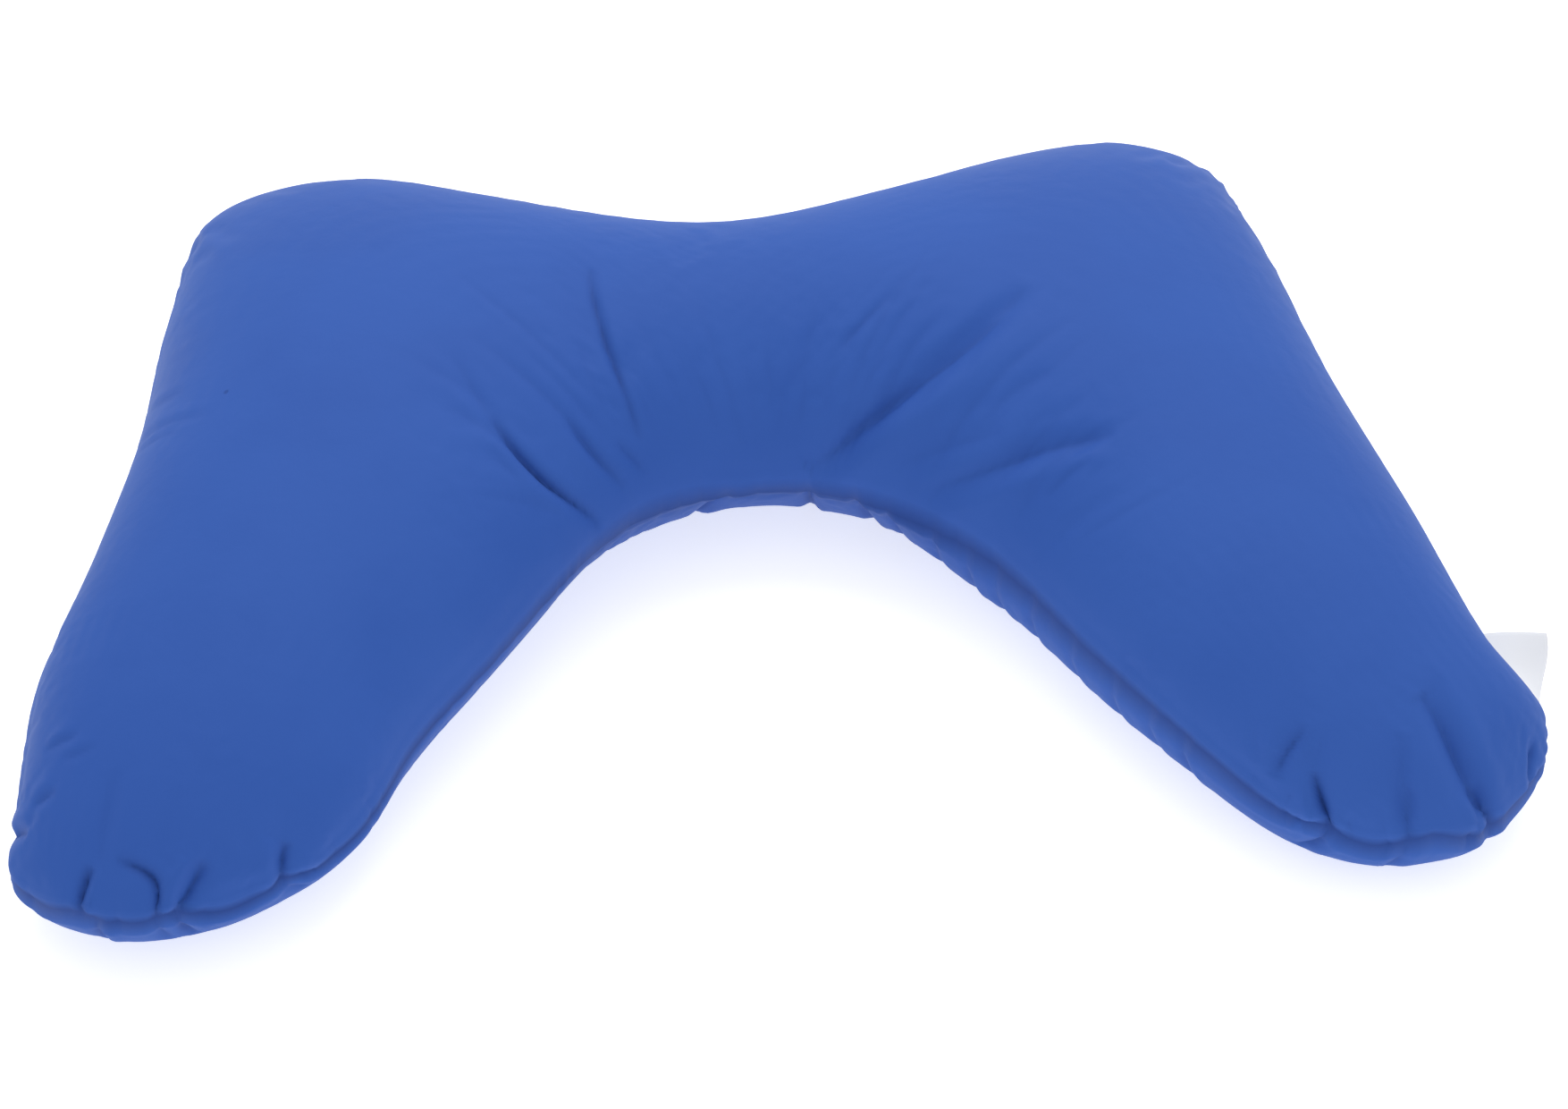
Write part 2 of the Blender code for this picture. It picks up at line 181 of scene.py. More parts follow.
UNDER_FOLDS = {
    "arch_notch_left": (0.447, 0.000, 0.449, 0.2, 0.450, 0.45, 4.5, 8, 0.8, 0.5),
    "arch_notch_middle": (0.531, 0.000, 0.531, 0.2, 0.530, 0.45, 5.0, 8, 0.8, 0.5),
    "arch_notch_right": (0.585, 0.000, 0.586, 0.18, 0.586, 0.4, 5.5, 8, 1.0, 0.5),
    "arch_notch_far_right": (0.612, 0.000, 0.613, 0.14, 0.614, 0.32, 4.5, 7, 0.6, 0.5),
    "arm_notch_high": (0.645, 0.000, 0.645, 0.060, 0.645, 0.180, 2.5, 7, 0.6, 0.5),
    "arm_notch_middle": (0.671, 0.000, 0.671, 0.060, 0.671, 0.180, 2.5, 7, 0.6, 0.5),
    "arm_notch_low": (0.900, 0.000, 0.900, 0.060, 0.900, 0.180, 3.0, 8, 0.8, 0.5),
    "arm_notch_second": (0.705, 0.000, 0.705, 0.070, 0.706, 0.190, 2.2, 8, 0.5, 0.4),
    "arm_notch_third": (0.748, 0.000, 0.748, 0.060, 0.747, 0.170, 2.4, 8, 0.6, 0.4),
    "arm_notch_fourth": (0.793, 0.000, 0.793, 0.070, 0.794, 0.200, 2.0, 8, 0.5, 0.4),
    "arm_notch_fifth": (0.834, 0.000, 0.834, 0.060, 0.833, 0.180, 2.4, 8, 0.5, 0.4),
    "arm_notch_sixth": (0.870, 0.000, 0.870, 0.060, 0.871, 0.170, 2.2, 8, 0.5, 0.4),
    "right_tuck_inner": (1.000, 0.092, 0.990, 0.100, 0.975, 0.120, 5.0, 9, 0.8, 0.7),
    "right_tuck_middle": (1.000, 0.326, 0.993, 0.330, 0.983, 0.335, 3.0, 9, 0.6, 0.5),
    "right_tuck_outer": (1.000, 0.672, 0.994, 0.668, 0.985, 0.660, 3.5, 9, 0.8, 0.6),
    "left_tuck_outer": (0.000, 0.640, 0.008, 0.645, 0.016, 0.650, 4.5, 8, 1.0, 0.7),
    "left_tuck_middle": (0.000, 0.462, 0.007, 0.460, 0.014, 0.455, 3.0, 8, 0.6, 0.6),
    "left_tuck_inner": (0.000, 0.402, 0.008, 0.398, 0.018, 0.392, 5.0, 9, 1.0, 0.6),
    "left_tuck_side": (0.000, 0.105, 0.008, 0.100, 0.018, 0.095, 3.5, 9, 0.6, 0.5),
    "left_tuck_far": (0.031, 1.000, 0.028, 0.960, 0.026, 0.910, 4.0, 9, 0.8, 0.5),
}

# How a fold is pressed in: the steps of its path, how sharp its crisp part is, the place and width of
# the roll beside it as shares of its reach, how much it draws the cloth together, how it fades to its
# ends, and how much of it is left on the seam. Its points are looked for within so many reaches of
# every few steps of its path.
FOLD_STEPS = 40
FOLD_CRISPNESS = 2.2
ROLL_AT = 0.9
ROLL_WIDTH = 0.55
FOLD_PINCH = 0.7
FOLD_FADE = 0.6
SEAM_SHARE = 0.12
SEARCH_REACHES = 3.0
SEARCH_STEPS = 4

# Faint creases that fan out from the inner bend of the upper panel: how many, the shares of its length
# that they start between, how far each leans on its way out, for five shares of the length, and the
# limits of what is drawn for each crease
CREASE_COUNT = 30
CREASES_BETWEEN = (0.29, 0.76)
CREASE_SEED = 4
LEAN_AT = (0.30, 0.40, 0.50, 0.60, 0.72)
LEAN = (-0.010, 0.045, 0.020, 0.080, 0.060)
CREASE_LIMITS = {
    "shift": (-0.006, 0.006),
    "lean": (0.6, 1.2),
    "start": (0.03, 0.16),
    "end": (0.22, 0.50),
    "swerve": (-0.004, 0.004),
    "depth": (0.5, 1.3),
    "reach": (6.0, 11.0),
    "roll": (0.1, 0.4),
    "sharpness": (0.1, 0.5),
}

# Painted shade, a darker blue painted into tight folds, the seam and the lower panel in the arch: how deep
# a fold has it in full, in millimetres, and how far it reaches
FULL_SHADE_DEPTH = 5.0
SHADE_REACH = 2.6 * MM
SEAM_SHADE_REACH = 1.6 * MM
UNDER_ARCH_SHADE = 0.8
UNDER_ARCH_REACH = 16 * MM

# Care label: where it starts on the outer seam of the right arm, as a place on Y, its flat size, its
# thickness, and how far from the seam's line it is sewn, inwards when below 0. It bends down by one
# angle at its far end and by another at its near end, turning from one to the other with a power of
# the way between them, and has a share of its bend at the seam already. It is sewn square to the
# seam, whose direction is taken between points so far to either side.
LABEL_START = -129 * MM
LABEL_LENGTH = 56 * MM
LABEL_WIDTH = 52 * MM
LABEL_THICKNESS = 0.5 * MM
LABEL_OFF_SEAM = -1.5 * MM
LABEL_DROOP_FAR = math.radians(24.0)
LABEL_DROOP_NEAR = math.radians(97.0)
LABEL_DROOP_AT_SEAM = 0.4
LABEL_DROOP_POWER = 1.3
LABEL_EVENED = 15 * MM
LABEL_STEPS_ALONG = 28
LABEL_STEPS_OUT = 26

# Colours in linear light
CLOTH_BLUE = (0.030, 0.097, 0.40, 1.0)
CLOTH_BLUE_LIGHT = (0.035, 0.106, 0.42, 1.0)
# Dark blue for the painted shade in folds, the seam and the arch, and for the small stain
STAIN_AND_SHADE_BLUE = (0.006, 0.024, 0.15, 1.0)
SHEEN_TINT = (0.35, 0.55, 1.0, 1.0)
LABEL_WHITE = (0.78, 0.80, 0.86, 1.0)
FLOOR_WHITE = (0.76, 0.76, 0.76, 1.0)
PURE_WHITE = (1.0, 1.0, 1.0, 1.0)

# Coated cloth: the size of its clouding and the noise between which one blue turns into the other, the
# size and height of its crinkles and its grain, its roughness, its gloss and sheen, and how much of the
# dark blue a full painted shade has
CLOUD_SIZE = 120 * MM
CLOUD_BETWEEN = (0.35, 0.65)
CRINKLE_SIZE = 14 * MM
CRINKLE_HEIGHT = 0.35 * MM
GRAIN_SIZE = 0.9 * MM
GRAIN_HEIGHT = 0.05 * MM
CLOTH_ROUGHNESS = 0.58
CLOUD_ROUGHNESS = 0.08
CLOTH_GLOSS = 0.13
SHEEN_WEIGHT = 0.05
SHEEN_ROUGHNESS = 0.5
SHADE_STRENGTH = 0.6

# A small dark spot on the upper panel: shares of its length and breadth, size, core and strength
SPOT_ALONG = 0.276
SPOT_ACROSS = 0.699
SPOT_RADIUS = 2.2 * MM
SPOT_CORE = 0.88 * MM
SPOT_STRENGTH = 0.4

# Label ribbon
WEAVE_SIZE = 0.5 * MM
WEAVE_HEIGHT = 0.05 * MM
LABEL_ROUGHNESS = 0.55

# Points closer than this are one point
SAME_PLACE = 1e-6

# Studio: a pale floor that glows a little, an even sky and one large soft light over the back edge
FLOOR_SIZE = 6.0
FLOOR_GLOW = 0.62
FLOOR_ROUGHNESS = 0.9
FLOOR_GLOSS = 0.1
SKY_STRENGTH = 0.79
LIGHT_PLACE = Vector((0.2, 1.6, 2.4))
LIGHT_SIZE = 2.6
LIGHT_POWER = 38.0

# Camera, at the photo's angle to the pillow's face
CAMERA_AZIMUTH = math.radians(-4.0)
CAMERA_ELEVATION = math.radians(47.0)
CAMERA_DISTANCE = 2.1
CAMERA_LENS = 85.0
CAMERA_TARGET = Vector((-0.001, -0.052, 0.07))


def sections_between():
    """The section table on a smooth curve through its rows, as one array for each column."""
    rows = np.array(list(SECTIONS.values()), float)
    middle = rows[:, [0, 1]] + rows[:, [3, 4]]
    knots = lengths_along(middle)
    slopes = np.gradient(rows, knots, axis=0)
    even = np.linspace(0.0, 1.0, STEPS_ALONG + 1)
    at = knots[-1] * (EVENLY_ALONG * even + (1.0 - EVENLY_ALONG) * (1.0 - np.cos(math.pi * even)) / 2.0)
    left = np.clip(np.searchsorted(knots, at, side="right") - 1, 0, len(rows) - 2)
    width = (knots[left + 1] - knots[left])[:, None]
    t = (at[:, None] - knots[left][:, None]) / width
    smooth = (
        (2 * t**3 - 3 * t**2 + 1) * rows[left]
        + (t**3 - 2 * t**2 + t) * width * slopes[left]
        + (3 * t**2 - 2 * t**3) * rows[left + 1]
        + (t**3 - t**2) * width * slopes[left + 1]
    )
    return dict(zip(SECTION_COLUMNS, smooth.T))


def seam_side(sections, side):
    """The seam's inner or outer line, from the left tip to the right tip."""
    return np.stack([sections[side + "_x"], sections[side + "_y"], sections[side + "_z"]], 1) * MM


def lengths_along(line):
    """How far along the line each of its points is."""
    return np.concatenate([[0.0], np.cumsum(np.linalg.norm(np.diff(line, axis=0), axis=1))])


def point_at(line, distance):
    """Points on the line at the distances along it."""
    travelled = lengths_along(line)
    return np.stack([np.interp(distance, travelled, line[:, k]) for k in range(3)], -1)


def towards_tips(steps):
    """Unit steps out of steps from left to right, each turned towards its own tip."""
    turned = steps.copy()
    turned[: len(steps) // 2] *= -1.0
    return turned / np.linalg.norm(steps, axis=1)[:, None]


def seam_sheet(sections):
    """Points on a sheet stretched over the seam, as (along, across, xyz), with the seam round its rim."""
    inner = seam_side(sections, "inner")
    outer = seam_side(sections, "outer")
    chord = outer - inner
    turn = np.linspace(0.0, math.pi, STEPS_ACROSS + 1)
    share = EVENLY_ACROSS * turn / math.pi + (1.0 - EVENLY_ACROSS) * (1.0 - np.cos(turn)) / 2.0

    steps_in = np.minimum(np.arange(len(chord)), np.arange(len(chord))[::-1])
    wave = np.sin(turn) ** (1.0 + np.minimum(steps_in, BOW_STEPS) / BOW_STEPS)[:, None]
    square_to_chord = np.stack([chord[:, 1], -chord[:, 0], np.zeros(len(chord))], 1)
    lean = (
        towards_tips(np.gradient(inner, axis=0))[:, None] * ((1.0 - share) ** 2)[:, None]
        + towards_tips(square_to_chord)[:, None] * (2.0 * share * (1.0 - share))[:, None]
        + towards_tips(np.gradient(outer, axis=0))[:, None] * (share**2)[:, None]
    )
    bow = lean * (sections["bow"][:, None] * MM * wave)[..., None]
    return inner[:, None] + chord[:, None] * share[:, None] + bow


def lift_over(sheet):
    """Lift of a membrane over the outline, blown up from below. Over a long straight arm, the root
    of twice the lift is the half circle on the arm's width."""
    rows, columns = sheet.shape[:2]
    index = np.arange(rows * columns).reshape(rows, columns)
    a, b, c, d = index[:-1, :-1], index[1:, :-1], index[1:, 1:], index[:-1, 1:]
    triangles = np.concatenate([np.stack(corners, -1).reshape(-1, 3) for corners in ((a, b, c), (a, c, d))])
    corner = sheet.reshape(-1, 3)[:, :2][triangles]
    edge = corner[:, [2, 0, 1]] - corner[:, [1, 2, 0]]
    area = np.abs(edge[:, 0, 0] * edge[:, 1, 1] - edge[:, 0, 1] * edge[:, 1, 0]) / 2.0
    stiffness = np.zeros((rows * columns, rows * columns))
    load = np.zeros(rows * columns)
    for i in range(3):
        np.add.at(load, triangles[:, i], area / 3.0)
        for j in range(3):
            pull = (edge[:, i] * edge[:, j]).sum(1) / (4.0 * area)
            np.add.at(stiffness, (triangles[:, i], triangles[:, j]), pull)
    inside = index[1:-1, 1:-1].ravel()
    lift = np.zeros(rows * columns)
    lift[inside] = np.linalg.solve(stiffness[np.ix_(inside, inside)], load[inside])
    return lift.reshape(rows, columns)


def refined(grid):
    """The grid with twice as many steps both ways, on a smooth surface through its points."""
    for axis in (0, 1):
        lines = np.moveaxis(grid, axis, 0)
        longer = np.concatenate([2 * lines[:1] - lines[1:2], lines, 2 * lines[-1:] - lines[-2:-1]])
        between = (9 * (longer[1:-2] + longer[2:-1]) - longer[:-3] - longer[3:]) / 16
        joined = np.empty((2 * len(lines) - 1, *lines.shape[1:]))
        joined[::2] = lines
        joined[1::2] = between
        grid = np.moveaxis(joined, 0, axis)
    return grid


def landed(height):
    """Heights that meet the floor softly and lie flat on it."""
    soft = (height + LANDING) ** 2 / (4.0 * LANDING)
    return np.where(height > LANDING, height, np.where(height < -LANDING, 0.0, soft))


def filled_panels():
    """Grids of the upper and the lower panel of the filled cushion, which share the seam round their
    rim, before the simulation and the folds."""
    sections = sections_between()
    sheet = seam_sheet(sections)
    lift = lift_over(sheet)
    across = np.linspace(0.0, 1.0, STEPS_ACROSS + 1)
    belly = np.outer(sections["inner_belly"], 1.0 - across) + np.outer(sections["outer_belly"], across)
    for refining in range(REFININGS):
        sheet, lift, belly = refined(sheet), refined(lift), refined(belly)
    span = np.sqrt(2.0 * np.maximum(lift, 0.0))
    top = sheet.copy()
    top[..., 2] += CROWN_PER_SPAN * span
    under = sheet.copy()
    under[1:-1, 1:-1, 2] -= (BELLY_PER_SPAN * TYPICAL_SPAN * (span / TYPICAL_SPAN) ** belly)[1:-1, 1:-1]
    under[1:-1, 1:-1, 2] = landed(under[1:-1, 1:-1, 2])
    return top, under


def outward(panel, up):
    """Normals of a panel's grid, on its upper side or, with up at -1, on its lower side."""
    normal = np.cross(np.gradient(panel, axis=0), np.gradient(panel, axis=1))
    normal /= np.linalg.norm(normal, axis=2, keepdims=True)
    rows, columns = panel.shape[:2]
    return normal * up * np.sign(normal[rows // 2, columns // 2, 2])


def seam_loop(panel):
    """The seam as a closed line: the panel's inner side, right tip, outer side and left tip."""
    return np.concatenate([panel[:, 0], panel[-1, 1:], panel[-2::-1, -1], panel[0, -2::-1]])


def lifted(panel, seam_line):
    """A panel with the seam lifts of the table. The seam's line gives their places."""
    columns = seam_line.shape[1]
    panel = panel.copy()
    for values in SEAM_LIFTS.values():
        lift = dict(zip(SEAM_LIFT_COLUMNS, values))
        place = seam_line[lift["end"], round(lift["across"] * (columns - 1))]
        away = np.linalg.norm(panel - place, axis=2) / (lift["reach"] * MM)
        panel[..., 2] += lift["rise"] * MM * np.exp(-(away**2))
    return panel


def from_seam(panel, loop):
    """For each point of a panel, how far the seam is from it, how far along the seam that is, and
    which point of the seam is nearest."""
    tree = kdtree.KDTree(len(loop))
    for index, place in enumerate(loop):
        tree.insert(place, index)
    tree.balance()
    points = panel.reshape(-1, 3)
    nearest = np.array([tree.find(point)[1] for point in points])
    travelled = lengths_along(loop)
    best = np.full(len(points), np.inf)
    at = np.zeros(len(points))
    for step in (-1, 0):
        first = np.clip(nearest + step, 0, len(loop) - 2)
        start, run = loop[first], loop[first + 1] - loop[first]
        length = np.maximum((run**2).sum(1), SAME_PLACE**2)
        share = np.clip(((points - start) * run).sum(1) / length, 0.0, 1.0)
        gap = np.linalg.norm(points - start - run * share[:, None], axis=1)
        closer = gap < best
        best = np.where(closer, gap, best)
        at = np.where(closer, travelled[first] + share * np.sqrt(length), at)
    return [found.reshape(panel.shape[:2]) for found in (best, at, nearest)]


def rim_directions(loop):
    """Level directions straight out of the seam, at each of its points."""
    run = np.gradient(loop, axis=0)
    for step in range(RIM_EVENING):
        run[1:-1] = (run[:-2] + 2.0 * run[1:-1] + run[2:]) / 4.0
    rim = np.stack([run[:, 1], -run[:, 0], np.zeros(len(run))], 1)
    return rim / np.linalg.norm(rim, axis=1, keepdims=True)


def grid_verts(mesh, points):
    """Lays a flat grid of the points' size in the mesh, moves each vertex to its point, and returns
    the vertices row by row."""
    rows, columns = points.shape[:2]
    made = bmesh.ops.create_grid(mesh, x_segments=rows - 1, y_segments=columns - 1, size=1.0)
    in_order = sorted(made["verts"], key=lambda vert: (round(vert.co.x, 5), round(vert.co.y, 5)))
    for vert, place in zip(in_order, points.reshape(-1, 3)):
        vert.co = place
    return in_order


def evened(grid, rounds):
    """The grid with each point drawn towards its neighbours in so many rounds. The rim stays."""
    grid = grid.copy()
    for step in range(rounds):
        beside = grid[:-2, 1:-1] + grid[2:, 1:-1] + grid[1:-1, :-2] + grid[1:-1, 2:]
        grid[1:-1, 1:-1] = (4.0 * grid[1:-1, 1:-1] + beside) / 8.0
    return grid


def simulated(panels, shades, gaps):
    """How far the fill moves each point of the two panels in a cloth simulation, over and above the
    even swelling of the cloth around it, which would take the cushion out of its measured shape."""
    mesh = bmesh.new()
    order = []
    for points, up in zip(panels, (1.0, -1.0)):
        verts = grid_verts(mesh, points)
        faces = {face for vert in verts for face in vert.link_faces}
        mesh.normal_update()
        if sum(face.normal.z for face in faces) * up < 0.0:
            bmesh.ops.reverse_faces(mesh, faces=list(faces))
        order += verts
    mesh.verts.index_update()
    order = np.array([vert.index for vert in order])
    data = bpy.data.meshes.new("simulated_cloth")
    mesh.to_mesh(data)
    mesh.free()
    cloth = bpy.data.objects.new("simulated_cloth", data)
    bpy.context.scene.collection.objects.link(cloth)

    start = np.concatenate([points.reshape(-1, 3) for points in panels])
    gap = np.concatenate([gap.ravel() for gap in gaps])
    shade = np.concatenate([shade.ravel() for shade in shades])
    pinned = cloth.vertex_groups.new(name="pinned")
    spare = cloth.vertex_groups.new(name="spare")
    for number, place, away, dark in zip(order.tolist(), start, gap, shade):
        if dark > HELD_SHADE or place[2] < RESTING:
            pinned.add([number], 1.0, "REPLACE")
        spare.add([number], max(0.0, 1.0 - away / SPARE_REACH), "REPLACE")

    press = cloth.modifiers.new("press", "CLOTH")
    settings = press.settings
    settings.quality = CLOTH_QUALITY
    settings.use_pressure = True
    settings.uniform_pressure_force = FILL_PRESSURE
    settings.effector_weights.gravity = 0.0
    settings.mass = CLOTH_MASS
    settings.tension_stiffness = settings.compression_stiffness = CLOTH_STRETCH
    settings.shear_stiffness = CLOTH_SHEAR
    settings.bending_stiffness = CLOTH_BEND
    settings.vertex_group_mass = "pinned"
    settings.vertex_group_shrink = "spare"
    settings.shrink_min = 0.0
    settings.shrink_max = -SPARE_CLOTH
    press.collision_settings.use_collision = False
    scene = bpy.context.scene
    for frame_number in range(1, SIMULATED_FRAMES + 1):
        scene.frame_set(frame_number)
    seen = cloth.evaluated_get(bpy.context.evaluated_depsgraph_get())
    places = np.zeros(len(data.vertices) * 3)
    seen.data.vertices.foreach_get("co", places)
    places = places.reshape(-1, 3)[order]
    scene.frame_set(1)
    bpy.data.objects.remove(cloth)

    halves = np.split(places - start, 2)
    moves = [half.reshape(panels[0].shape) for half in halves]
    moves = [move - evened(move, SWELL_EVENING) for move in moves]
    lengths = [np.maximum(np.linalg.norm(move, axis=2, keepdims=True), SAME_PLACE) for move in moves]
    return [move * MOST_MOVE * np.tanh(length / MOST_MOVE) / length for move, length in zip(moves, lengths)]


def soft_object(name, grids, shades, finish):
    """An object of the grids, joined where they meet and shaded smooth, with the shade at each point."""
    mesh = bmesh.new()
    layer = mesh.verts.layers.float.new("shade")
    for points, shade in zip(grids, shades):
        for vert, value in zip(grid_verts(mesh, points), shade.ravel()):
            vert[layer] = value
    bmesh.ops.remove_doubles(mesh, verts=mesh.verts, dist=SAME_PLACE)
    bmesh.ops.recalc_face_normals(mesh, faces=mesh.faces)
    data = bpy.data.meshes.new(name)
    mesh.to_mesh(data)
    mesh.free()
    data.shade_smooth()
    data.materials.append(finish)
    made = bpy.data.objects.new(name, data)
    bpy.context.scene.collection.objects.link(made)
    return made


def uneven(along_seam, swing):
    """Smooth irregular numbers round 0 along the seam. The swing gives their size, over how many
    gathers they change, and their seed."""
    size, gathers, seed = swing
    random = np.random.default_rng(seed)
    total = np.zeros_like(along_seam)
    for stretch in SWING_STRETCHES:
        spacing = gathers * GATHER_SPACING * stretch
        total += np.sin(2 * math.pi * (along_seam / spacing + random.random()))
    return size * (total / 3.0)


def seamed(panel, up, facing, gap, along_seam, tip_share, arch_share):
    """A panel with the seam's groove and the gathers that run out from it."""
    gathered = GATHER_DEPTH + TIP_GATHER_DEPTH * tip_share + ARCH_GATHER_DEPTH * arch_share
    wave = np.abs(np.sin(math.pi * (along_seam / GATHER_SPACING + uneven(along_seam, PLACE_SWING))))
    vary = np.maximum(GATHER_EVEN_DEPTH + uneven(along_seam, DEPTH_SWING), 0.0)
    if up > 0.0:
        run = GATHER_RUN_UPPER * (1.0 + uneven(along_seam, UPPER_RUN_SWING))
    else:
        run = GATHER_RUN_LOWER * (1.0 + uneven(along_seam, LOWER_RUN_SWING))
    valleys = (1.0 - wave**GATHER_SHARPNESS) * vary * gathered * np.exp(-((gap / run) ** 2))
    groove = SEAM_DEPTH * np.maximum(1.0 - gap / SEAM_REACH, 0.0) ** 2
    roll = SEAM_ROLL * np.exp(-(((gap - SEAM_REACH) / SEAM_ROLL_WIDTH) ** 2))
    return panel + facing * (roll - groove - valleys)[..., None]


def fine_creases():
    """Rows of faint creases in the upper panel, irregular but the same in each run."""
    random = np.random.default_rng(CREASE_SEED)
    creases = {}
    for number, even in enumerate(np.linspace(*CREASES_BETWEEN, CREASE_COUNT)):
        drawn = {name: random.uniform(*limits) for name, limits in CREASE_LIMITS.items()}
        along = even + drawn["shift"]
        lean = np.interp(along, LEAN_AT, LEAN) * drawn["lean"]
        start, end = drawn["start"], drawn["end"]
        middle = (start + end) / 2.0
        creases["fine_crease_%d" % number] = (
            along + lean * start, start, along + lean * middle + drawn["swerve"], middle,
            along + lean * end, end, drawn["depth"], drawn["reach"], drawn["roll"], drawn["sharpness"],
        )
    return creases


def towards(normal, rim, rim_share):
    """Normals that turn level near the seam, so that both panels are pressed the same way there."""
    turned = normal * (1.0 - rim_share) + rim * rim_share
    return turned / np.linalg.norm(turned, axis=2, keepdims=True)


def on_panel(panel, along, across):
    """Places on a panel at shares of its length and breadth."""
    rows, columns = panel.shape[:2]
    i = np.clip(along, 0.0, 1.0) * (rows - 1)
    j = np.clip(across, 0.0, 1.0) * (columns - 1)
    low_i = np.minimum(i.astype(int), rows - 2)
    low_j = np.minimum(j.astype(int), columns - 2)
    u, v = (i - low_i)[:, None], (j - low_j)[:, None]
    near = panel[low_i, low_j] * (1 - v) + panel[low_i, low_j + 1] * v
    far = panel[low_i + 1, low_j] * (1 - v) + panel[low_i + 1, low_j + 1] * v
    return near * (1 - u) + far * u


def folded(panel, up, folds, rim, rim_share, shade):
    """A panel with the folds of the table pressed into it, each fading at its ends. The shade of the
    tight folds goes into shade."""
    t = np.linspace(0.0, 1.0, FOLD_STEPS + 1)
    weights = np.stack([(1 - t) * (1 - 2 * t), 4 * t * (1 - t), t * (2 * t - 1)], 1)
    for values in folds.values():
        fold = dict(zip(FOLD_COLUMNS, values))
        along = weights @ [fold["from_along"], fold["over_along"], fold["to_along"]]
        across = weights @ [fold["from_across"], fold["over_across"], fold["to_across"]]
        path = on_panel(panel, along, across)
        normal = towards(outward(panel, up), rim, rim_share)
        reach = fold["reach"] * MM
        from_path = np.linalg.norm(panel[:, :, None] - path[::SEARCH_STEPS], axis=3).min(2)
        near = from_path < SEARCH_REACHES * reach
        points, facing = panel[near], normal[near]
        away = points[:, None] - path
        distance = np.linalg.norm(away, axis=2)
        nearest = distance.argmin(1)
        gap = distance[np.arange(len(points)), nearest]
        heading = np.gradient(path, axis=0)[nearest]
        side = np.sign((np.cross(heading, away[np.arange(len(points)), nearest]) * facing).sum(1))
        at_seam = min(along[0], 1.0 - along[0], across[0], 1.0 - across[0]) < SAME_PLACE
        started = SEAM_SHARE if at_seam else 0.0
        strength = np.sin(math.pi * (started + (1.0 - started) * t))[nearest] ** FOLD_FADE
        x = gap / reach
        soft = np.where(x < 1.0, (1.0 + np.cos(math.pi * np.minimum(x, 1.0))) / 2.0, 0.0)
        crisp = np.maximum(1.0 - x, 0.0) ** FOLD_CRISPNESS
        trough = fold["depth"] * MM * (fold["sharpness"] * crisp + (1.0 - fold["sharpness"]) * soft)
        beside = side * x if fold["roll"] > 0.0 else -side * x
        roll = abs(fold["roll"]) * MM * np.exp(-(((beside - ROLL_AT) / ROLL_WIDTH) ** 2))
        to_path = -away[np.arange(len(points)), nearest]
        to_path -= facing * (to_path * facing).sum(1, keepdims=True)
        pinch = FOLD_PINCH * fold["sharpness"] * np.maximum(1.0 - x, 0.0) ** 2 * strength
        panel = panel.copy()
        panel[near] = points + facing * ((roll - trough) * strength)[:, None] + to_path * pinch[:, None]
        # Painted shade in the core of a tight fold
        dark = fold["sharpness"] * strength * min(1.0, fold["depth"] / FULL_SHADE_DEPTH)
        shade[near] = np.maximum(shade[near], dark * np.exp(-((gap / SHADE_REACH) ** 2)))
    return panel


def pressed(panels):
    """The panels with the seam, the gathers and the folds pressed into them, the shade at each point,
    and how far each point is from the seam."""
    loop = seam_loop(panels[0])
    rims = rim_directions(loop)
    finished, shades, gaps, nearest_points = [], [], [], []
    for panel, up, folds in zip(panels, (1.0, -1.0), (UPPER_FOLDS | fine_creases(), UNDER_FOLDS)):
        gap, along_seam, nearest = from_seam(panel, loop)
        ends = [np.abs(panel[..., :2] - panel[end, :, :2].mean(0)).sum(2) for end in (0, -1)]
        tip_share = np.exp(-((np.minimum(*ends) / TIP_REACH) ** 2))
        arch = np.linalg.norm(panel[..., :2] - panel[len(panel) // 2, 0, :2], axis=2)
        arch_share = np.exp(-((arch / ARCH_REACH) ** 4))
        # Painted shade along the seam line
        shade = np.exp(-((gap / SEAM_SHADE_REACH) ** 2))
        # Painted shade: a darker band on the lower panel below the seam in the arch, where the shadow falls
        if up < 0.0:
            under_arch = UNDER_ARCH_SHADE * arch_share * np.exp(-((gap / UNDER_ARCH_REACH) ** 2))
            shade = np.maximum(shade, under_arch)
        rim = rims[nearest]
        rim_share = np.exp(-((gap / SEAM_REACH) ** 2))[..., None]
        facing = towards(outward(panel, up), rim, rim_share)
        panel = seamed(panel, up, facing, gap, along_seam, tip_share, arch_share)
        finished.append(folded(panel, up, folds, rim, rim_share, shade))
        shades.append(shade)
        gaps.append(gap)
        nearest_points.append(nearest)
    seams = [seam_loop(panel) for panel in finished]
    for panel, gap, nearest, seam in zip(finished, gaps, nearest_points, seams):
        share = np.exp(-((gap / SEAM_REACH) ** 2))[..., None]
        panel += ((seams[0] + seams[1]) / 2.0 - seam)[nearest] * share
    free = np.clip(panels[1][..., 2:] / FREE_ABOVE, 0.0, 1.0)
    finished[1] = panels[1] * (1.0 - free) + finished[1] * free
    finished[1][..., 2] = np.maximum(finished[1][..., 2], 0.0)
    return finished, shades, gaps


def cushion_panels():
    """Grids of the finished upper and lower panel, and their shades. A grid's corner is laid on its
    neighbour, so that the seam runs on smoothly and no sliver is left there."""
    filled = filled_panels()
    panels = [lifted(panel, filled[0]) for panel in filled]
    finished, shades, _ = pressed(panels)
    moves = simulated(*pressed([panel[::2, ::2] for panel in panels]))
    finished = [panel + refined(move) for panel, move in zip(finished, moves)]
    finished[1][..., 2] = np.maximum(finished[1][..., 2], 0.0)
    for panel in finished:
        panel[[0, -1], 0] = panel[[0, -1], 1]
        panel[[0, -1], -1] = panel[[0, -1], -2]
    return finished, shades


